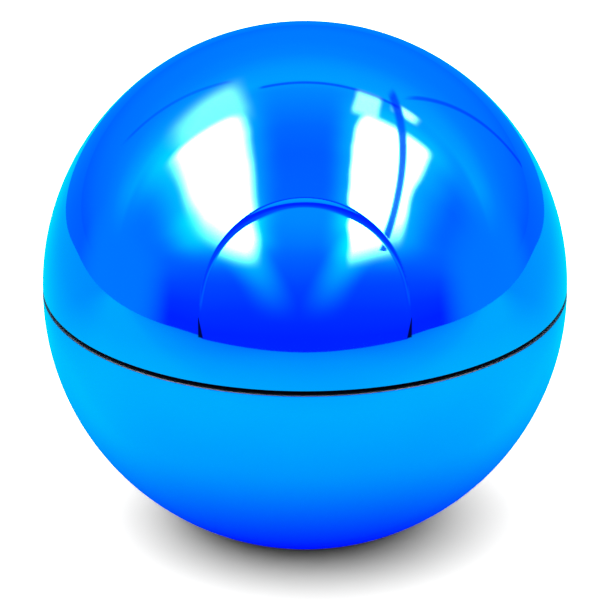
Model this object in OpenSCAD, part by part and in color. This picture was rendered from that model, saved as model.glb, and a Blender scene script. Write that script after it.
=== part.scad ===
// Spherical lip balm case: two metallised half shells that meet at an open seam, an inner
// neck that carries the balm, and a lid with a liner that locks on the neck with a short turn.
// The origin is the centre of the flat foot, +Z is up, and the thumb recess faces -Y.

/* [Ball] */
// Outer diameter of both half shells
ball_d = 40; // [36:0.5:44]
// Wall of both half shells
shell_wall = 1.5; // [1.2:0.1:1.7]
// Open gap between the rims of the two half shells
seam_gap = 0.33; // [0.2:0.01:0.5]
// Radius of the rounded outer edge on each rim
rim_round = 0.1; // [0.05:0.05:0.3]

/* [Foot] */
// Diameter of the flat that the ball stands on
foot_d = 15; // [13:0.5:17]
// Thickness of the floor inside the foot
foot_floor = 1.6; // [1.2:0.1:2.4]
// Diameter of the label on the foot
label_d = 11.6; // [9:0.2:11.8]

/* [Thumb recess] */
// Width of the arched recess on the front of the lid
thumb_w = 15.6; // [13:0.2:16.4]
// Height of the centre of its round top above the lid's rim
thumb_h = 5.6; // [4:0.2:6]

/* [Neck] */
// Outer diameter of the neck under its lugs
neck_d = 29.2; // [28.8:0.1:29.4]
// Wall of the neck
neck_wall = 1.4; // [1.1:0.1:1.6]
// Height of the neck above the base rim
neck_h = 4.5; // [4.3:0.1:4.7]

/* [Twist lock] */
// Number of lugs round the neck, and as many inside the liner
lug_count = 3; // [2:1:3]
// Angle that one lug spans
lug_span = 40; // [20:1:44]
// Height of one lug
lug_h = 0.9; // [0.7:0.1:1]
// Clearance between the turning pieces
turn_gap = 0.15; // [0.1:0.01:0.2]

/* [Balm] */
// Radius of the balm's domed top
balm_dome_r = 13.5; // [13.2:0.1:13.6]
// Number of holes in the outer ring of the balm holder
grid_holes = 10; // [6:1:12]

/* [Hidden] */
$fn = 120;

ball_r = ball_d / 2;
cavity_r = ball_r - shell_wall;
foot_r = foot_d / 2;
// Height of the base rim, which is the centre of the lower hemisphere
seam_z = sqrt(ball_r * ball_r - foot_r * foot_r);
// Height of the lid rim, which is the centre of the upper hemisphere
lid_z = seam_z + seam_gap;

// The recess floor is part of a smaller ball set low and forward of the lid's centre, so that
// it runs out into the outer surface above the rim and is deepest under the arch
thumb_ball_r = 0.95 * ball_r;
thumb_ball_forward = 0.06 * ball_r;
thumb_ball_drop = 0.031 * ball_r;

label_t = 0.12;
label_recess = 0.2;
label_margin = 0.4;

// Flanges of the two inner pieces, which sit in the mouths of the shells on a ledge. The lid's
// is the smaller, because the back of the recess's wall comes in round it.
base_flange_r = cavity_r - 0.1;
lid_flange_r = cavity_r - 0.5;
flange_t = 1;
flange_inset = 0.3;
ledge_r = cavity_r - 0.9;
ledge_t = 1;
base_flange_z = seam_z - flange_inset - flange_t;
lid_flange_z = lid_z + flange_inset;

neck_r = neck_d / 2;
neck_bore_r = neck_r - neck_wall;
neck_depth = 4.5;
neck_top = seam_z + neck_h;
lug_reach = 0.7;
lug_root = 0.2;
skirt_r = neck_r + lug_reach + turn_gap;
skirt_wall = 1;
neck_lug_z = neck_top - 0.1 - lug_h;
liner_lug_z = neck_lug_z - 0.1 - lug_h;
stop_span = 3;
stop_gap = 1;
lug_pitch = 360 / lug_count;
first_neck_lug = 270 + lug_pitch / 2;
first_liner_lug = 270;

seal_t = 0.4;
seal_gap = 0.05;
seal_w = 0.75;
web_z = neck_top + seal_t + 2 * seal_gap;
web_t = 1.2;
liner_gap = 0.4;
liner_wall = 1;
balm_dome_z = seam_z + 1.2;

holder_r = neck_bore_r - 0.1;
holder_t = 1.2;
holder_z = seam_z - 1;
holder_ledge = 1;
holder_ledge_t = 1.2;
stem_r = 2.5;
stem_bore_r = 1.3;
stem_h = 6;
rib_t = 0.9;
gusset_count = 6;
slack = 0.01;

// A ring round the Z axis
module ring(r_in, r_out, z, h) {
    translate([0, 0, z])
        difference() {
            cylinder(r = r_out, h = h);
            translate([0, 0, -1]) cylinder(r = r_in, h = h + 2);
        }
}

// A part of a ring that spans an angle centred on a direction
module ring_part(r_in, r_out, z, h, at, span) {
    rotate([0, 0, at - span / 2])
        rotate_extrude(angle = span)
            translate([r_in, z]) square([r_out - r_in, h]);
}

// Upright ribs between two radii, evenly spaced
module ribs(count, r_in, r_out, z, h, turn) {
    for (i = [0 : count - 1])
        rotate([0, 0, turn + i * 360 / count])
            translate([r_in, -rib_t / 2, z]) cube([r_out - r_in, rib_t, h]);
}

// Section of a hemisphere below the X axis, with a rounded outer edge at its rim
module half_section() {
    difference() {
        intersection() {
            circle(r = ball_r);
            translate([0, -ball_r]) square([ball_r, ball_r]);
        }
        difference() {
            translate([ball_r - rim_round, -rim_round]) square(2 * rim_round);
            translate([ball_r - rim_round, -rim_round]) circle(r = rim_round);
        }
    }
}

// Solid lower hemisphere of the ball, rim up, centred on the origin
module half_ball() {
    rotate_extrude() half_section();
}

// The arch of the thumb recess as a bar along Y on the front of the lid, grown by an amount
module thumb_arch(grow) {
    rotate([90, 0, 0])
        linear_extrude(height = ball_d)
            union() {
                translate([0, thumb_h]) circle(r = thumb_w / 2 + grow);
                translate([-thumb_w / 2 - grow, -ball_r]) square([thumb_w + 2 * grow, ball_r + thumb_h]);
            }
}

// What the thumb recess takes away, at a depth below the outer surface
module thumb_cut(depth) {
    difference() {
        thumb_arch(depth);
        translate([0, -thumb_ball_forward, -thumb_ball_drop]) sphere(r = thumb_ball_r - depth);
    }
}

module base_shell() {
    color([0.0, 0.42, 1.0])
        difference() {
            translate([0, 0, seam_z]) half_ball();
            // Hollow above the floor, with a ledge for the flange of the neck
            difference() {
                translate([0, 0, seam_z]) sphere(r = cavity_r);
                translate([-ball_r, -ball_r, -ball_r]) cube([ball_d, ball_d, ball_r + foot_floor]);
                ring(ledge_r, ball_r, base_flange_z - ledge_t, ledge_t);
            }
            // Flat foot and the shallow place for the label
            translate([-ball_r, -ball_r, -ball_r]) cube([ball_d, ball_d, ball_r]);
            translate([0, 0, -1]) cylinder(d = label_d + 2 * label_margin, h = 1 + label_recess);
        }
}

module base_label() {
    color([0.93, 0.94, 0.95])
        translate([0, 0, label_recess - label_t]) cylinder(d = label_d, h = label_t);
}

module base_neck() {
    color([0.1, 0.1, 0.11])
        union() {
            ring(neck_bore_r, neck_r, seam_z - neck_depth, neck_depth + neck_h);
            ring(neck_r - lug_root, base_flange_r, base_flange_z, flange_t);
            ring(neck_bore_r - holder_ledge, neck_bore_r + lug_root, holder_z - holder_ledge_t, holder_ledge_t);
            ribs(gusset_count, neck_r - lug_root, ledge_r - 0.1, seam_z - neck_depth, neck_depth - flange_inset, 0);
            for (i = [0 : lug_count - 1]) {
                at = first_neck_lug + i * lug_pitch;
                ring_part(neck_r - lug_root, neck_r + lug_reach, neck_lug_z, lug_h, at, lug_span);
                // Stop at the far end of the lug, which ends the closing turn
                ring_part(neck_r - lug_root, neck_r + lug_reach, liner_lug_z, neck_lug_z + lug_h - liner_lug_z,
                          at - lug_span / 2 - stop_gap - stop_span / 2, stop_span);
            }
        }
}

module balm_holder() {
    color([0.88, 0.89, 0.9])
        difference() {
            union() {
                translate([0, 0, holder_z]) cylinder(r = holder_r, h = holder_t);
                translate([0, 0, holder_z - stem_h]) cylinder(r = stem_r, h = stem_h + slack);
                ribs(gusset_count, stem_r - lug_root, neck_bore_r - holder_ledge - 0.3,
                     holder_z - 2, 2 + slack, 30);
            }
            translate([0, 0, holder_z - stem_h - 1]) cylinder(r = stem_bore_r, h = stem_h + holder_t + 2);
            for (i = [0 : grid_holes - 1])
                rotate([0, 0, (i + 0.5) * 360 / grid_holes])
                    translate([0.78 * holder_r, 0, holder_z - 3]) cylinder(r = 1.5, h = holder_t + 4);
            for (i = [0 : gusset_count - 1])
                rotate([0, 0, i * 360 / gusset_count])
                    translate([0.45 * holder_r, 0, holder_z - 3]) cylinder(r = 1.5, h = holder_t + 4);
        }
}

module balm_dome() {
    color([0.97, 0.95, 0.88])
        intersection() {
            translate([0, 0, holder_z + holder_t]) cylinder(r = holder_r, h = ball_d);
            translate([0, 0, balm_dome_z]) sphere(r = balm_dome_r);
        }
}

module seal_ring() {
    color([0.2, 0.2, 0.21])
        ring(neck_r - 0.05 - seal_w, neck_r - 0.05, neck_top + seal_gap, seal_t);
}

module lid_liner() {
    color([0.1, 0.1, 0.11])
        difference() {
            union() {
                // Dome over the balm
                intersection() {
                    translate([0, 0, balm_dome_z]) sphere(r = balm_dome_r + liner_gap + liner_wall);
                    translate([0, 0, web_z]) cylinder(r = ball_r, h = ball_r);
                }
                // Web over the neck, skirt round it, and flange in the lid's mouth
                translate([0, 0, web_z]) cylinder(r = skirt_r + skirt_wall, h = web_t);
                ring(skirt_r, skirt_r + skirt_wall, lid_flange_z, web_z + slack - lid_flange_z);
                ring(skirt_r, lid_flange_r, lid_flange_z, flange_t);
                ribs(gusset_count, skirt_r + lug_root, ledge_r - 0.4, lid_flange_z, flange_t + 2.5, 0);
                for (i = [0 : lug_count - 1])
                    ring_part(neck_r + turn_gap, skirt_r + lug_root, liner_lug_z, lug_h,
                              first_liner_lug + i * lug_pitch, lug_span);
            }
            translate([0, 0, balm_dome_z]) sphere(r = balm_dome_r + liner_gap);
        }
}

module lid_shell() {
    color([0.0, 0.42, 1.0])
        translate([0, 0, lid_z])
            difference() {
                rotate([180, 0, 0]) half_ball();
                thumb_cut(0);
                // Hollow that follows the recess, with a ledge over the flange of the liner
                difference() {
                    sphere(r = cavity_r);
                    thumb_cut(shell_wall);
                    ring(ledge_r, ball_r, flange_inset + flange_t, ledge_t);
                }
            }
}

base_shell();
base_label();
base_neck();
balm_holder();
balm_dome();
seal_ring();
lid_liner();
lid_shell();
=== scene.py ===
"""Looks of the spherical lip balm case: two mirror-blue half shells on black inserts, over a dome of balm."""
import math

import bpy
import numpy as np
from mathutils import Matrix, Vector

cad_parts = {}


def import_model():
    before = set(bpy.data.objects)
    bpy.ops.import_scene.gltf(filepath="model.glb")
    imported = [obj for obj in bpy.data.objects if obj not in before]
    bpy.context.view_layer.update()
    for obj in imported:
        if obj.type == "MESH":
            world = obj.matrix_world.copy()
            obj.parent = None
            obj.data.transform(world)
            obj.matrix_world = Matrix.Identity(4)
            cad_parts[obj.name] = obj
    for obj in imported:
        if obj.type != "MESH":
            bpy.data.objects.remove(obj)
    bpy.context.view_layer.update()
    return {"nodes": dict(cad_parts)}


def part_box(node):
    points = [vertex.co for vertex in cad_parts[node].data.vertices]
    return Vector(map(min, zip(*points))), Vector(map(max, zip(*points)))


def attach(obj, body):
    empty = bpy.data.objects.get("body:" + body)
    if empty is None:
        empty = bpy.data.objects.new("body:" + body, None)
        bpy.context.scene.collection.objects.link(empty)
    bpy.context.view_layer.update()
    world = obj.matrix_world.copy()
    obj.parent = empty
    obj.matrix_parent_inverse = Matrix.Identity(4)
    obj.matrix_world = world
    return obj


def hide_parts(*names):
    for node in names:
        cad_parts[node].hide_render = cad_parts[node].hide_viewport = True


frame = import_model()

MM = 0.001

# Sizes that the frame gives
base_low, base_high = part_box("base_shell")
BALL_R = (base_high.x - base_low.x) / 2
SEAM_Z = base_high.z
LID_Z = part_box("lid_shell")[0].z
LABEL_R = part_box("base_label")[1].x
DOME_LOW, DOME_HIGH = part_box("balm_dome")

# Sizes that repeat part.scad, because only bounding boxes can be read here
WALL = 1.5 * MM
RIM_ROUND = 0.1 * MM
FOOT_R = 7.5 * MM
FOOT_FLOOR = 1.6 * MM
LABEL_RECESS = 0.2 * MM
LABEL_MARGIN = 0.4 * MM
LEDGE_R = 17.6 * MM
LEDGE_INSET = 1.3 * MM
LEDGE_T = 1.0 * MM
BALM_SPHERE_R = 13.5 * MM
ARCH_R = 7.8 * MM
ARCH_Z = 5.6 * MM

# Round of the foot's edge, which part.scad leaves sharp
FOOT_ROUND = 0.35 * MM

# The thumb recess: where it starts above the rim, how its depth below the ball grows up to the arch
# and out to the sides, and how wide its step is
ARCH_TOP = math.asin((ARCH_R + ARCH_Z) / BALL_R)
RECESS_FROM = math.radians(15)
TOP_DEPTH = 0.0262 * BALL_R
TOP_POWER = 2.8
SIDE_DEPTH = 0.0055 * BALL_R
SIDE_FROM, SIDE_TO = math.radians(9), math.radians(22)
STEP_WIDTH = 0.90 * MM
# The step's width at the arch's sides, as a part of its width at the top
STEP_SIDE = 0.4
# The width of the step's rounded edge, as a part of the step's width at that place
STEP_EDGE = 0.15


# ---------------------------------------------------------------- node trees

class Tree:
    """Adds nodes to a node tree, so that a shader reads as a formula."""

    def __init__(self, tree):
        self.tree = tree
        tree.nodes.clear()

    def put(self, socket, value):
        if isinstance(value, bpy.types.NodeSocket):
            self.tree.links.new(value, socket)
        else:
            socket.default_value = value

    def node(self, kind, *inputs, **settings):
        made = self.tree.nodes.new(kind)
        for key, value in settings.items():
            setattr(made, key, value)
        for socket, value in zip(made.inputs, inputs):
            self.put(socket, value)
        return made

    def math(self, operation, *values):
        return self.node("ShaderNodeMath", *values, operation=operation).outputs[0]

    def length(self, a, b):
        """The hypotenuse of two values."""
        return self.math("SQRT", self.math("ADD", self.math("POWER", a, 2.0), self.math("POWER", b, 2.0)))

    def ease(self, value, start, end, low=0.0, high=1.0):
        """Goes smoothly from low to high as value goes from start to end."""
        made = self.node("ShaderNodeMapRange", value, start, end, low, high)
        made.interpolation_type = "SMOOTHSTEP"
        return made.outputs[0]

    def band(self, value, low, high, soft):
        """1 between low and high, with edges that fade over soft."""
        rise = self.ease(value, low - soft, low + soft)
        fall = self.ease(value, high - soft, high + soft, 1.0, 0.0)
        return self.math("MULTIPLY", rise, fall)

    def mix(self, factor, a, b):
        made = self.node("ShaderNodeMix", data_type="RGBA")
        self.put(made.inputs[0], factor)
        self.put(made.inputs[6], a)
        self.put(made.inputs[7], b)
        return made.outputs[2]

    def ramp(self, value, stops):
        """A ramp of greys through (place, grey) stops."""
        made = self.node("ShaderNodeValToRGB", value)
        elements = made.color_ramp.elements
        while len(elements) < len(stops):
            elements.new(0.5)
        for element, (place, grey) in zip(elements, stops):
            element.position = place
            element.color = (grey, grey, grey, 1)
        return made.outputs[0]

    def rgb(self, red, green, blue):
        return self.node("ShaderNodeCombineColor", red, green, blue).outputs[0]

    def noise(self, vector, size, detail=2.0, roughness=0.5, distortion=0.0):
        """Noise from 0 to 1 whose features are about size across."""
        made = self.node("ShaderNodeTexNoise")
        self.put(made.inputs["Vector"], vector)
        self.put(made.inputs["Scale"], 1 / size)
        self.put(made.inputs["Detail"], detail)
        self.put(made.inputs["Roughness"], roughness)
        self.put(made.inputs["Distortion"], distortion)
        return made.outputs["Fac"]

    def bump(self, height, distance, normal=None):
        made = self.node("ShaderNodeBump")
        self.put(made.inputs["Height"], height)
        self.put(made.inputs["Distance"], distance)
        if normal is not None:
            self.put(made.inputs["Normal"], normal)
        return made.outputs[0]

    def place(self):
        """The point on the piece, in its own frame, in metres."""
        return self.node("ShaderNodeTexCoord").outputs["Object"]


def material(name):
    made = bpy.data.materials.new(name)
    made.use_nodes = True
    return made, Tree(made.node_tree)


def principled(tree, **inputs):
    shader = tree.node("ShaderNodeBsdfPrincipled")
    for key, value in inputs.items():
        tree.put(shader.inputs[key.replace("_", " ")], value)
    tree.node("ShaderNodeOutputMaterial", shader.outputs[0])


# ---------------------------------------------------------------- materials

# The painted shade at each foot of the arch: height above the rim from and to, and width at each end
SHADE_FROM, SHADE_TO = 3.5 * MM, 5.0 * MM
SHADE_WIDE, SHADE_THIN = 0.36 * MM, 0.02 * MM


def arch_foot_painted_shade(t, place):
    """1 in the two wedges of painted shade, thin wedges where the arch's step runs out above the rim."""
    x, y, z = t.node("ShaderNodeSeparateXYZ", place).outputs
    rise = t.math("SUBTRACT", z, LID_Z)
    width = t.node("ShaderNodeMapRange", rise, SHADE_FROM, SHADE_TO, SHADE_WIDE, SHADE_THIN).outputs[0]
    inward = t.math("SUBTRACT", ARCH_R + 0.06 * MM, t.math("ABSOLUTE", x))
    inside = t.math("DIVIDE", inward, width)
    tall = t.band(rise, SHADE_FROM + 0.02 * MM, SHADE_TO - 0.05 * MM, 0.05 * MM)
    wedge = t.math("MULTIPLY", t.band(inside, 0.0, 1.0, 0.18), tall)
    return t.math("MULTIPLY", wedge, t.math("LESS_THAN", y, 0.0))


def recess_top_painted_reflection(t, place):
    """1 at the top of the thumb recess, inside its step, where a brighter reflection is painted."""
    x, y, z = t.node("ShaderNodeSeparateXYZ", place).outputs
    rise = t.math("SUBTRACT", z, LID_Z)
    above = t.math("MAXIMUM", t.math("SUBTRACT", rise, ARCH_Z), 0.0)
    inside = t.ease(t.length(x, above), ARCH_R - STEP_WIDTH, ARCH_R - 0.75 * STEP_WIDTH, 1.0, 0.0)
    brighter_top = t.ease(rise, 0.45 * BALL_R, 0.64 * BALL_R)
    return t.math("MULTIPLY", t.math("MULTIPLY", inside, brighter_top), t.math("LESS_THAN", y, 0.0))


def mirror_blue():
    """Vacuum metallised plastic under a clear blue lacquer."""
    made, t = material("mirror_blue")
    place = t.place()
    swell = t.noise(place, 11 * MM, 1.0)
    peel = t.noise(place, 1.4 * MM, 2.0)
    patch = t.noise(place, 5 * MM, 3.0)
    colour = t.mix(patch, (0.045, 0.315, 1, 1), (0.055, 0.345, 1, 1))
    # Painted reflection: the top of the thumb recess is made a brighter cyan-blue
    colour = t.mix(recess_top_painted_reflection(t, place), colour, (0.055, 0.80, 1, 1))
    # Painted shade: near-black wedges at the two feet of the arch
    colour = t.mix(arch_foot_painted_shade(t, place), colour, (0.0, 0.002, 0.03, 1))
    rough = t.ease(patch, 0.2, 0.8, 0.030, 0.045)
    normal = t.bump(swell, 0.020 * MM)
    normal = t.bump(peel, 0.0006 * MM, normal)
    principled(t, Base_Color=colour, Metallic=1.0, Roughness=rough, Normal=normal,
               Coat_Weight=1.0, Coat_Roughness=0.02, Coat_IOR=1.5)
    return made


def raw_inside_and_lip_shade():
    """The unplated inside of the shells, also put on the lip of the base's rim as painted shade."""
    made, t = material("raw_inside_and_lip_shade")
    place = t.place()
    grain = t.noise(place, 0.3 * MM, 3.0)
    tone = t.noise(place, 4 * MM, 2.0)
    colour = t.mix(tone, (0.004, 0.006, 0.014, 1), (0.008, 0.011, 0.022, 1))
    principled(t, Base_Color=colour, Roughness=t.ease(grain, 0.2, 0.8, 0.45, 0.6),
               Normal=t.bump(grain, 0.004 * MM))
    return made


def black_insert():
    """Satin moulded polypropylene."""
    made, t = material("black_insert")
    place = t.place()
    grain = t.noise(place, 0.12 * MM, 4.0, 0.6)
    flow = t.noise(place, 6 * MM, 2.0, distortion=1.0)
    colour = t.mix(flow, (0.010, 0.010, 0.012, 1), (0.018, 0.018, 0.021, 1))
    principled(t, Base_Color=colour, Roughness=t.ease(flow, 0.3, 0.7, 0.32, 0.44),
               Normal=t.bump(grain, 0.006 * MM))
    return made


def natural_grid():
    """Natural translucent polypropylene."""
    made, t = material("natural_grid")
    place = t.place()
    cloud = t.noise(place, 5 * MM, 3.0)
    colour = t.mix(cloud, (0.78, 0.80, 0.81, 1), (0.88, 0.89, 0.89, 1))
    principled(t, Base_Color=colour, Roughness=t.ease(cloud, 0.3, 0.7, 0.36, 0.5),
               Subsurface_Weight=0.3, Subsurface_Scale=1.5 * MM,
               Normal=t.bump(t.noise(place, 0.2 * MM, 3.0), 0.004 * MM))
    return made


def balm_wax():
    """Satin ivory wax, cast in a mould."""
    made, t = material("balm_wax")
    place = t.place()
    cloud = t.noise(place, 3.5 * MM, 4.0, 0.55, 0.6)
    bloom = t.noise(place, 0.7 * MM, 3.0)
    colour = t.mix(cloud, (0.88, 0.81, 0.66, 1), (0.95, 0.90, 0.77, 1))
    normal = t.bump(cloud, 0.05 * MM)
    normal = t.bump(bloom, 0.012 * MM, normal)
    principled(t, Base_Color=colour, Roughness=t.ease(bloom, 0.25, 0.75, 0.30, 0.48),
               Subsurface_Weight=0.35, Subsurface_Scale=2.5 * MM, Normal=normal)
    return made


def seal_foam():
    """Matt closed-cell foam."""
    made, t = material("seal_foam")
    place = t.place()
    cells = t.node("ShaderNodeTexVoronoi", place)
    cells.inputs["Scale"].default_value = 1 / (0.12 * MM)
    depth = cells.outputs["Distance"]
    colour = t.mix(depth, (0.055, 0.055, 0.06, 1), (0.11, 0.11, 0.12, 1))
    principled(t, Base_Color=colour, Roughness=t.ease(depth, 0.0, 0.8, 0.75, 0.95),
               Normal=t.bump(depth, 0.02 * MM))
    return made


def label_film():
    """Blank silver-white film."""
    made, t = material("label_film")
    place = t.place()
    fibre = t.noise(place, 0.5 * MM, 4.0, 0.6)
    colour = t.mix(fibre, (0.74, 0.75, 0.77, 1), (0.84, 0.85, 0.86, 1))
    principled(t, Base_Color=colour, Roughness=t.ease(fibre, 0.3, 0.7, 0.30, 0.42),
               Normal=t.bump(fibre, 0.006 * MM))
    return made


# ---------------------------------------------------------------- mesh tools

def arc(centre_r, centre_z, radius, start, end, steps):
    """Points (radius from the axis, height) along an arc whose angles are in degrees."""
    angles = np.radians(np.linspace(start, end, steps + 1))
    return [(centre_r + radius * math.cos(a), centre_z + radius * math.sin(a)) for a in angles]


def rounded(points, radius, steps=3):
    """An outline with each inner corner replaced by a small arc of about that radius."""
    out = [points[0]]
    for before, corner, after in zip(points, points[1:], points[2:]):
        c = Vector(corner)
        to_before, to_after = Vector(before) - c, Vector(after) - c
        cut = min(radius, to_before.length * 0.45, to_after.length * 0.45)
        a, b = c + to_before.normalized() * cut, c + to_after.normalized() * cut
        for k in range(steps + 1):
            s = k / steps
            out.append(tuple(a * (1 - s) ** 2 + c * (2 * s * (1 - s)) + b * s ** 2))
    return out + [points[-1]]


def rings_mesh(name, rings, poles):
    """A closed mesh of rings of points, each an array (columns, 3), and a pole at each end."""
    columns = len(rings[0])
    points = np.concatenate(rings)
    here = np.arange(columns)
    after = (here + 1) % columns
    faces = []
    for low in range(len(rings) - 1):
        a, b = low * columns, (low + 1) * columns
        faces += np.stack([a + here, a + after, b + after, b + here], 1).tolist()
    first, last = len(points), len(points) + 1
    points = np.concatenate([points, np.array(poles)])
    end = (len(rings) - 1) * columns
    faces += np.stack([after, here, np.full(columns, first)], 1).tolist()
    faces += np.stack([end + here, end + after, np.full(columns, last)], 1).tolist()
    mesh = bpy.data.meshes.new(name)
    mesh.from_pydata(points.tolist(), [], faces)
    mesh.validate()
    mesh.polygons.foreach_set("use_smooth", np.ones(len(mesh.polygons), bool))
    mesh.update()
    piece = bpy.data.objects.new(name, mesh)
    bpy.context.scene.collection.objects.link(piece)
    return piece


def lathe(name, outline, columns):
    """A solid of revolution from an outline that starts and ends on the axis, outside first."""
    turn = np.linspace(0, 2 * np.pi, columns, endpoint=False)
    rings = [np.stack([r * np.cos(turn), r * np.sin(turn), np.full(columns, z)], 1)
             for r, z in outline[1:-1]]
    return rings_mesh(name, rings, [(0, 0, outline[0][1]), (0, 0, outline[-1][1])])


def finish_piece(piece, body, node):
    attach(piece, body)
    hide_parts(node)


# ---------------------------------------------------------------- the two shells

def base_shell():
    """Lower half shell: foot, outside, rounded rim, ledge and inside, turned from one outline."""
    inner = BALL_R - WALL
    foot_angle = -math.degrees(math.acos(FOOT_R / BALL_R))
    label_r = LABEL_R + LABEL_MARGIN
    foot = rounded([(0, LABEL_RECESS), (label_r, LABEL_RECESS), (label_r, 0), (FOOT_R - FOOT_ROUND, 0)],
                   0.05 * MM)
    edge = arc(0, SEAM_Z, BALL_R, foot_angle + 1.2, -0.6, 88)
    foot_bend = rounded([foot[-1], (FOOT_R, 0), edge[0]], FOOT_ROUND, 6)[1:-1]
    rim = arc(BALL_R - RIM_ROUND, SEAM_Z - RIM_ROUND, RIM_ROUND, 0, 90, 8)
    ledge_z = SEAM_Z - LEDGE_INSET
    mouth = math.sqrt(inner ** 2 - LEDGE_INSET ** 2)
    under = ledge_z - LEDGE_T
    below = math.sqrt(inner ** 2 - (SEAM_Z - under) ** 2)
    inside = rounded([rim[-1], (inner, SEAM_Z), (mouth, ledge_z), (LEDGE_R, ledge_z), (LEDGE_R, under),
                      (below, under)], 0.06 * MM)
    start = -math.degrees(math.asin((SEAM_Z - under) / inner))
    stop = -math.degrees(math.asin((SEAM_Z - FOOT_FLOOR) / inner))
    bowl = arc(0, SEAM_Z, inner, start - 1, stop, 36)
    outline = foot[:-1] + foot_bend + edge + rim[:-1] + inside[1:] + bowl + [(0, FOOT_FLOOR)]
    return lathe("base_shell_mirror", outline, 360)


def recess_depth(turn, rise, grow=0.0):
    """Depth of the thumb recess below the ball, for arrays of azimuth from the front and elevation.
    It is nothing at the rim, grows upwards and to the sides, and ends in a step along the arch. Grow
    moves the arch outwards."""
    ux, uz = np.sin(turn) * np.cos(rise), np.sin(rise)
    x, z = BALL_R * ux, BALL_R * uz
    above = np.maximum(z - ARCH_Z, 0)
    reach = np.maximum(np.hypot(x, above), 1e-9)
    # How fast the distance to the arch changes along the ball's surface
    slope = np.sqrt(1 - np.minimum((ux * x + uz * above) / reach, 0.95) ** 2)
    inside = (ARCH_R + grow - reach) / slope
    # The step is steepest at its edge, which has a small round, and runs out in a hollow that is
    # widest at the top of the arch
    width = STEP_WIDTH * (STEP_SIDE + (1 - STEP_SIDE) * np.clip(above / ARCH_R, 0, 1) ** 3)
    s = np.clip(inside / width, 0, 1)
    s = np.where(s < STEP_EDGE, s * s / (2 * STEP_EDGE), s - STEP_EDGE / 2) / (1 - STEP_EDGE / 2)
    step = 1 - (1 - s) ** 1.5
    side = np.clip((rise - SIDE_FROM) / (SIDE_TO - SIDE_FROM), 0, 1)
    side = side * side * (3 - 2 * side)
    depth = TOP_DEPTH * np.clip((rise - RECESS_FROM) / (ARCH_TOP - RECESS_FROM), 0, 1.2) ** TOP_POWER
    depth = depth + SIDE_DEPTH * side * (x / ARCH_R) ** 2
    return np.where(np.cos(turn) > 0, depth * step, 0)


def lid_point(turn, rise):
    """Points on the outside of the lid, for arrays of azimuth from the front and elevation."""
    r = BALL_R - recess_depth(turn, rise)
    flat = r * np.cos(rise)
    return np.stack([flat * np.sin(turn), -flat * np.cos(turn), LID_Z + r * np.sin(rise)], -1)


def lid_normal(turn, rise):
    """Outward normals there, from the slopes of the surface along both angles."""
    small = 1e-4
    along = lid_point(turn + small, rise) - lid_point(turn - small, rise)
    up = lid_point(turn, rise + small) - lid_point(turn, rise - small)
    out = np.cross(along, up)
    return out / np.linalg.norm(out, axis=-1, keepdims=True)


# The part of the lid round the thumb recess that has the fine grid
FINE_TURN, FINE_RISE = math.radians(26), math.radians(44)


def lid_shell():
    """Upper half shell: its outside carries the thumb recess, on a grid that is fine there."""
    turn = np.concatenate([np.linspace(-FINE_TURN, FINE_TURN, 300, endpoint=False),
                           np.linspace(FINE_TURN, math.radians(360) - FINE_TURN, 220, endpoint=False)])
    rim_rise = math.asin(RIM_ROUND / BALL_R)
    rises = np.concatenate([np.linspace(rim_rise, FINE_RISE, 250),
                            np.linspace(FINE_RISE, math.radians(89), 34)[1:]])
    outside = [lid_point(turn, np.full_like(turn, rise)) for rise in rises]
    normals = [lid_normal(turn, np.full_like(turn, rise)) for rise in rises]

    def ring(r, z):
        return np.stack([r * np.sin(turn), -r * np.cos(turn), np.full_like(turn, z)], 1)

    inner = BALL_R - WALL
    rim = arc(BALL_R - RIM_ROUND, LID_Z + RIM_ROUND, RIM_ROUND, -90, 0, 8)[:-1]
    ledge_z = LID_Z + LEDGE_INSET
    over = ledge_z + LEDGE_T
    mouth = math.sqrt(inner ** 2 - LEDGE_INSET ** 2)
    above = math.sqrt(inner ** 2 - (over - LID_Z) ** 2)
    inside = rounded([(above, over), (LEDGE_R, over), (LEDGE_R, ledge_z), (mouth, ledge_z),
                      (inner, LID_Z), rim[0]], 0.06 * MM)

    def dome(rise):
        r = inner - recess_depth(turn, np.full_like(turn, rise), WALL)
        flat = r * math.cos(rise)
        return np.stack([flat * np.sin(turn), -flat * np.cos(turn), LID_Z + r * math.sin(rise)], 1)

    domes = [dome(rise) for rise in np.radians(np.linspace(89, 9, 41))]
    rings = domes + [ring(r, z) for r, z in inside[:-1] + rim] + outside
    poles = [(0, 0, LID_Z + inner), (0, 0, LID_Z + BALL_R)]
    piece = rings_mesh("lid_shell_mirror", rings, poles)
    mesh = piece.data
    # The outside is shaded by the surface's own normals, which keeps the step's reflections clean
    shading = np.zeros((len(mesh.vertices), 3), np.float32)
    mesh.vertex_normals.foreach_get("vector", shading.ravel())
    first = (len(rings) - len(outside)) * len(turn)
    shading[first:first + len(outside) * len(turn)] = np.concatenate(normals)
    shading[-1] = (0, 0, 1)
    mesh.normals_split_custom_set_from_vertices(shading.tolist())
    return piece


def two_materials(piece, outside, inside, is_outside):
    """Gives a piece its outside material, and the inside one where a face's centre isn't outside."""
    piece.data.materials.append(outside)
    piece.data.materials.append(inside)
    for face in piece.data.polygons:
        face.material_index = 0 if is_outside(face.center, face.normal) else 1


# Height of the lip at each rim, and how far in from the ball the lid's is still plated
LIP = 0.6 * RIM_ROUND
LIP_PLATED = 0.2 * MM
# How far in from the ball a face can be plated: more than the recess's depth, less than the wall
PLATED_DEPTH = 1.4 * MM


def faces_out(point, normal, centre_z):
    """True near the ball's surface, for a face that looks away from the ball's centre."""
    out = point - Vector((0, 0, centre_z))
    return out.length > BALL_R - PLATED_DEPTH and normal.dot(out) > -1e-6


def base_outside(point, normal):
    """The lip of the base's rim is left dark as painted shade, as the seam is in the photograph."""
    if point.z > SEAM_Z - LIP:
        return False
    return point.z < FOOT_FLOOR / 2 or faces_out(point, normal, SEAM_Z)


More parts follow.
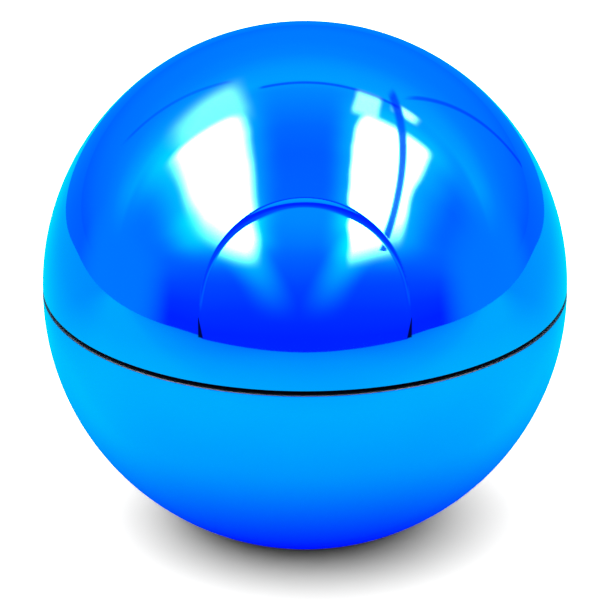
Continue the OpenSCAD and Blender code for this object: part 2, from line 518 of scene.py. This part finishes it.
def lid_outside(point, normal):
    """The lip of the lid's rim is plated a little way in."""
    if point.z < LID_Z + LIP:
        return math.hypot(point.x, point.y) > BALL_R - LIP_PLATED
    return faces_out(point, normal, LID_Z)


def build_shells(outside, inside):
    base, lid = base_shell(), lid_shell()
    two_materials(base, outside, inside, base_outside)
    two_materials(lid, outside, inside, lid_outside)
    finish_piece(base, "base", "base_shell")
    finish_piece(lid, "lid", "lid_shell")


# ---------------------------------------------------------------- balm

def balm():
    """The cast dome of balm: drawn back from the neck's wall, with a soft shrink ring and pip."""
    centre_z = DOME_HIGH.z - BALM_SPHERE_R
    edge_r = DOME_HIGH.x
    edge_angle = math.degrees(math.acos(edge_r / BALM_SPHERE_R))
    dome = arc(0, centre_z, BALM_SPHERE_R, edge_angle + 1.5, 89, 90)
    side = rounded([(0, DOME_LOW.z), (edge_r, DOME_LOW.z), (edge_r, dome[0][1] - 0.35 * MM), dome[0]],
                   0.3 * MM, 5)
    piece = lathe("balm_dome_wax", side[:-1] + dome + [(0, DOME_HIGH.z)], 240)
    # A shallow ring round the top, where it left the mould, another near the neck, and faint waves
    rng = np.random.default_rng(7)
    waves = [(rng.uniform(0, 2 * np.pi), rng.uniform(0.6, 1.0), rng.integers(2, 6)) for _ in range(5)]
    for v in piece.data.vertices:
        flat = math.hypot(v.co.x, v.co.y)
        turn = math.atan2(v.co.y, v.co.x)
        pip = 0.16 * MM * math.exp(-((flat - 1.1 * MM) / (0.35 * MM)) ** 2)
        shrink = 0.05 * MM * math.exp(-((flat - 12.2 * MM) / (0.5 * MM)) ** 2)
        wave = sum(a * math.sin(n * turn + p) for p, a, n in waves) * 0.006 * MM
        if v.co.z > centre_z:
            v.co -= (v.co - Vector((0, 0, centre_z))).normalized() * (pip + shrink + abs(wave))
    piece.data.update()
    return piece


# ---------------------------------------------------------------- studio

# How far the camera stands above the horizon and away from the seam's centre, its lens in mm, and
# how far it is below the line to that centre
CAMERA_RISE = math.radians(23.75)
CAMERA_AWAY = 0.5
CAMERA_LENS = 386.8
CAMERA_LOWER = 1.37 * MM


def camera():
    data = bpy.data.cameras.new("camera")
    data.lens = CAMERA_LENS
    data.sensor_width = 36
    data.clip_start = 0.01
    cam = bpy.data.objects.new("camera", data)
    bpy.context.scene.collection.objects.link(cam)
    back = Vector((0, -math.cos(CAMERA_RISE), math.sin(CAMERA_RISE)))
    up = Vector((0, math.sin(CAMERA_RISE), math.cos(CAMERA_RISE)))
    cam.location = Vector((0, 0, SEAM_Z)) + back * CAMERA_AWAY - up * CAMERA_LOWER
    cam.rotation_euler = (math.pi / 2 - CAMERA_RISE, 0, 0)
    bpy.context.scene.camera = cam


# The floor's half width, and how bright the camera sees it
FLOOR_HALF = 1.5
FLOOR_GAIN = 2.0
# The table under the ball, as the polished shells mirror it: how far it reaches, the round of its
# corners, the softness of its edge, and how green it looks
TABLE_FRONT, TABLE_BACK, TABLE_SIDE = 0.214, 0.133, 0.26
TABLE_CORNER = 0.04
TABLE_SOFT = 0.004
TABLE_GREEN = 1.02
# How much of that is left right under the ball, behind the ball and off to its sides
GREEN_UNDER, GREEN_BEHIND, GREEN_ASIDE = 0.11, 0.68, 0.85
# How it falls off with the distance ahead of the ball
TABLE_FALL = ((0.030, 1.0), (0.045, 0.96), (0.062, 0.84), (0.100, 0.71), (0.150, 0.60), (0.214, 0.49))


def table_green(t, x, y):
    """How green the table looks: darker under the ball, which hides the studio from it, and further off."""
    reach = t.ease(y, -0.5 * BALL_R, BALL_R, 1.25 * BALL_R, 2.2 * BALL_R)
    near = t.ease(t.length(x, y), 0.3 * BALL_R, reach, GREEN_UNDER * TABLE_GREEN, TABLE_GREEN)
    stops = [(distance / TABLE_FRONT, green) for distance, green in TABLE_FALL]
    far = t.ramp(t.math("DIVIDE", y, -TABLE_FRONT), stops)
    behind = t.ease(y, -0.5 * BALL_R, 1.5 * BALL_R, 1.0, GREEN_BEHIND)
    aside = t.ease(t.math("ABSOLUTE", x), 1.2 * BALL_R, 5 * BALL_R, 1.0, GREEN_ASIDE)
    return t.math("MULTIPLY", t.math("MULTIPLY", near, far), t.math("MULTIPLY", behind, aside))


def on_table(t, x, y):
    """1 on the table, which is a rectangle with rounded corners, and 0 beyond its edge."""
    middle = (TABLE_BACK - TABLE_FRONT) / 2
    depth = (TABLE_BACK + TABLE_FRONT) / 2 - TABLE_CORNER
    across = t.math("SUBTRACT", t.math("ABSOLUTE", x), TABLE_SIDE - TABLE_CORNER)
    along = t.math("SUBTRACT", t.math("ABSOLUTE", t.math("SUBTRACT", y, middle)), depth)
    corner = t.length(t.math("MAXIMUM", across, 0.0), t.math("MAXIMUM", along, 0.0))
    return t.ease(corner, TABLE_CORNER - TABLE_SOFT, TABLE_CORNER + TABLE_SOFT, 1.0, 0.0)


def floor_material():
    """White to the camera and plain to soft light. Gloss sees only the table, in blue and green."""
    made, t = material("floor")
    ray = t.node("ShaderNodeLightPath").outputs
    x, y, _ = t.node("ShaderNodeSeparateXYZ", t.place()).outputs
    seen = t.node("ShaderNodeBsdfDiffuse", (FLOOR_GAIN, FLOOR_GAIN, FLOOR_GAIN, 1)).outputs[0]
    plain = t.node("ShaderNodeBsdfDiffuse", (0.8, 0.8, 0.8, 1)).outputs[0]
    # To gloss the floor glows as a table: blue emission, and green with the ball's shadow painted in, both
    # painted light
    green = t.node("ShaderNodeBsdfDiffuse", t.rgb(0.0, table_green(t, x, y), 0.0)).outputs[0]
    blue = t.node("ShaderNodeEmission", (0.0, 0.0, 1.0, 1), 1.0).outputs[0]
    table = t.node("ShaderNodeAddShader", green, blue).outputs[0]
    beyond = t.node("ShaderNodeBsdfTransparent").outputs[0]
    mirrored = t.node("ShaderNodeMixShader", on_table(t, x, y), beyond, table).outputs[0]
    # Light that the shells throw back on the floor would tint its shadow
    later = t.math("GREATER_THAN", ray["Diffuse Depth"], 0.5)
    dark = t.node("ShaderNodeBsdfDiffuse", (0.0, 0.0, 0.0, 1)).outputs[0]
    mirrored = t.node("ShaderNodeMixShader", later, mirrored, dark).outputs[0]
    mirrored = t.node("ShaderNodeMixShader", ray["Is Glossy Ray"], plain, mirrored).outputs[0]
    shown = t.node("ShaderNodeMixShader", ray["Is Camera Ray"], mirrored, seen).outputs[0]
    t.node("ShaderNodeOutputMaterial", shown)
    return made


def floor():
    """A plain floor, just under the foot."""
    half = FLOOR_HALF
    mesh = bpy.data.meshes.new("floor")
    mesh.from_pydata([(-half, -half, 0), (half, -half, 0), (half, half, 0), (-half, half, 0)], [],
                     [(0, 1, 2, 3)])
    mesh.materials.append(floor_material())
    plane = bpy.data.objects.new("floor", mesh)
    plane.location.z = -0.01 * MM
    bpy.context.scene.collection.objects.link(plane)


# How green the studio looks by angle over the top, from 0 ahead of the ball to 180 behind it
ROOM = ((-180, 0.26), (-90, 0.32), (-50, 0.05), (0, 0.045), (12, 0.08), (24, 0.16), (36, 0.29),
        (48, 0.35), (62, 0.33), (82, 0.30), (96, 0.38), (108, 0.54), (118, 0.66), (124, 0.90),
        (132, 0.80), (144, 0.54), (156, 0.42), (168, 0.34), (180, 0.22))
# How green its side walls look, and where they start and end, sideways
SIDE_WALL = 0.48
WALL_FROM, WALL_TO = 0.86, 0.985

# Soft boxes and the glow round them: angle over the top from and to, sideways place from and to,
# softness of each, strength
SOFT_BOXES = (
    (30, 109, -0.73, -0.37, 4, 0.07, 25),
    (106, 131, -0.68, -0.30, 7, 0.06, 1.8),
    (30, 107, 0.32, 0.69, 4, 0.03, 25),
    (107, 121, 0.26, 0.39, 3, 0.02, 4),
    (117, 123, 0.454, 0.56, 2, 0.03, 6),
)
GLOWS = (
    (38, 124, -0.90, -0.28, 14, 0.18, 1.2),
    (40, 68, -0.88, -0.34, 9, 0.12, 0.6),
    (36, 118, 0.22, 0.80, 12, 0.14, 0.9),
)
# The height where both boxes stop, and how far their edges wander
BOX_BOTTOM = 0.62
BOX_WAVE = 0.09
# The light that falls in a wing below each box: how it leans, how wide and how strong it is
WING_LEAN, WING_WIDTH, WING_LIGHT = -0.0078, 0.22, 1.1
# Each thin dark line in the studio lies in the plane square to a direction, and is seen for a
# part of the way across: direction, sideways place from and to, half its width, darkness
STAND = ((-0.79, -0.18, 0.585), 0.40, 0.66, 0.022, 0.75)
SEAMS = (
    ((0.0, 0.853, -0.522), -0.22, 0.47, 0.012, 0.7),
    ((-0.52, -0.74, 0.436), -0.68, -0.33, 0.014, 0.4),
    ((0.806, -0.591, -0.04), 0.47, 0.62, 0.014, 0.6),
)
LINE_BOTTOM = 46.0
# The plain soft light that falls on everything but gloss: from above, round the back, both sides
# and the front, and a little from everywhere
TOP_LIGHT, BACK_LIGHT, LEFT_LIGHT, RIGHT_LIGHT = 0.95, 2.1, 2.6, 1.7
FRONT_LIGHT, FILL_LIGHT = 0.5, 0.22


def room(t, over, x):
    """Walls and ceiling, with the side walls drawn over them."""
    stops = [((angle + 180) / 360, green) for angle, green in ROOM]
    green = t.ramp(t.math("ADD", t.math("MULTIPLY", over, 1 / 360), 0.5), stops)
    side = t.ease(t.math("ABSOLUTE", x), WALL_FROM, WALL_TO)
    return t.mix(side, green, (SIDE_WALL, SIDE_WALL, SIDE_WALL, 1))


def boxes(t, table, over, across):
    """The light of all the soft boxes, or glows, in a table."""
    light = 0.0
    for low, high, left, right, soft_over, soft_x, strength in table:
        mask = t.math("MULTIPLY", t.band(over, low, high, soft_over), t.band(across, left, right, soft_x))
        light = t.math("MULTIPLY_ADD", t.math("POWER", mask, 1.7), float(strength), light)
    return light


def wings(t, over, x):
    """The light that spreads below the boxes, in a wing to each side."""
    lean = t.math("MULTIPLY_ADD", over, WING_LEAN, t.math("ABSOLUTE", t.math("ADD", x, 0.05)))
    wing = t.ease(t.math("ABSOLUTE", t.math("SUBTRACT", lean, 0.08)), 0.0, WING_WIDTH, 1.0, 0.0)
    wing = t.math("MULTIPLY", wing, t.ease(over, 5, 48, 0.0, WING_LIGHT))
    return t.math("MULTIPLY", wing, t.ease(over, 50, 75, 1.0, 0.0))


def line(t, way, over, x, facing, left, right, half, darkness):
    """What a thin dark line leaves of the light."""
    off = t.node("ShaderNodeVectorMath", way, facing, operation="DOT_PRODUCT").outputs["Value"]
    thin = t.ease(t.math("ABSOLUTE", off), 0.5 * half, 1.8 * half, darkness, 0.0)
    seen = t.math("MULTIPLY", thin, t.band(x, left, right, 0.02))
    seen = t.math("MULTIPLY", seen, t.math("GREATER_THAN", over, LINE_BOTTOM))
    return t.math("SUBTRACT", 1.0, seen)


def studio(t, way, x, y, z):
    """What the shells mirror: green from the room, and white from the soft boxes."""
    over = t.math("MULTIPLY", t.math("ARCTAN2", z, t.math("MULTIPLY", y, -1.0)), 180 / math.pi)
    # The boxes' cloth and the ball's own swell make their edges a little uneven
    uneven = t.math("MULTIPLY_ADD", t.noise(way, 0.4, 1.0), BOX_WAVE, -0.5 * BOX_WAVE)
    across = t.math("ADD", x, uneven)
    lower = t.math("MULTIPLY_ADD", uneven, 0.8, z)
    bottom = t.math("POWER", t.ease(lower, BOX_BOTTOM - 0.14, BOX_BOTTOM + 0.12), 2.0)
    light = t.math("MULTIPLY", boxes(t, SOFT_BOXES, over, across), bottom)
    glow = t.math("MULTIPLY", boxes(t, GLOWS, over, across), t.ease(z, BOX_BOTTOM - 0.35, BOX_BOTTOM))
    green = t.math("ADD", t.math("ADD", room(t, over, x), glow), wings(t, over, x))
    stand = line(t, way, over, x, *STAND)
    light = t.math("MULTIPLY", light, t.math("POWER", stand, 4.0))
    green = t.math("MULTIPLY", green, stand)
    for seam in SEAMS:
        green = t.math("MULTIPLY", green, line(t, way, over, x, *seam))
    return t.rgb(light, t.math("ADD", light, green), t.math("ADD", light, 1.05))


def soft_light(t, x, y, z):
    """Plain white light, from a ring part of the way up and from the top."""
    top = t.ease(z, 0.7, 0.9)
    ring = t.math("MULTIPLY", t.ease(z, 0.35, 0.65), t.math("SUBTRACT", 1.0, top))
    around = 0.0
    for along, sign, strength in ((y, 1.0, BACK_LIGHT), (x, 1.0, RIGHT_LIGHT),
                                  (x, -1.0, LEFT_LIGHT), (y, -1.0, FRONT_LIGHT)):
        facing = t.math("MAXIMUM", t.math("MULTIPLY", along, sign), 0.0)
        around = t.math("MULTIPLY_ADD", facing, strength, around)
    plain = t.math("MULTIPLY_ADD", top, TOP_LIGHT, t.math("MULTIPLY_ADD", ring, around, FILL_LIGHT))
    return t.rgb(plain, plain, plain)


def world():
    """The studio, which only gloss sees, and plain soft light for all the rest."""
    made = bpy.data.worlds.new("studio")
    made.use_nodes = True
    bpy.context.scene.world = made
    t = Tree(made.node_tree)
    way = t.node("ShaderNodeTexCoord").outputs["Generated"]
    x, y, z = t.node("ShaderNodeSeparateXYZ", way).outputs
    ray = t.node("ShaderNodeLightPath").outputs
    # Gloss that is seen by light thrown back from the floor stays dark, or it would tint the shadow
    first = t.math("LESS_THAN", ray["Diffuse Depth"], 0.5)
    mirrored = t.mix(first, (0, 0, 0, 1), studio(t, way, x, y, z))
    colour = t.mix(ray["Is Glossy Ray"], soft_light(t, x, y, z), mirrored)
    colour = t.mix(ray["Is Camera Ray"], colour, (1.0, 1.0, 1.0, 1))
    t.node("ShaderNodeOutputWorld", t.node("ShaderNodeBackground", colour, 1.0).outputs[0])


# ---------------------------------------------------------------- the whole

camera()
floor()
world()
build_shells(mirror_blue(), raw_inside_and_lip_shade())
# The pieces that keep their CAD shape, and their looks
insert = black_insert()
for node, finish in (("base_neck", insert), ("lid_liner", insert), ("balm_holder", natural_grid()),
                     ("seal_ring", seal_foam()), ("base_label", label_film())):
    mesh = frame["nodes"][node].data
    mesh.materials.clear()
    mesh.materials.append(finish)
dome = balm()
dome.data.materials.append(balm_wax())
finish_piece(dome, "base", "balm_dome")

bpy.context.scene.view_settings.view_transform = "Standard"
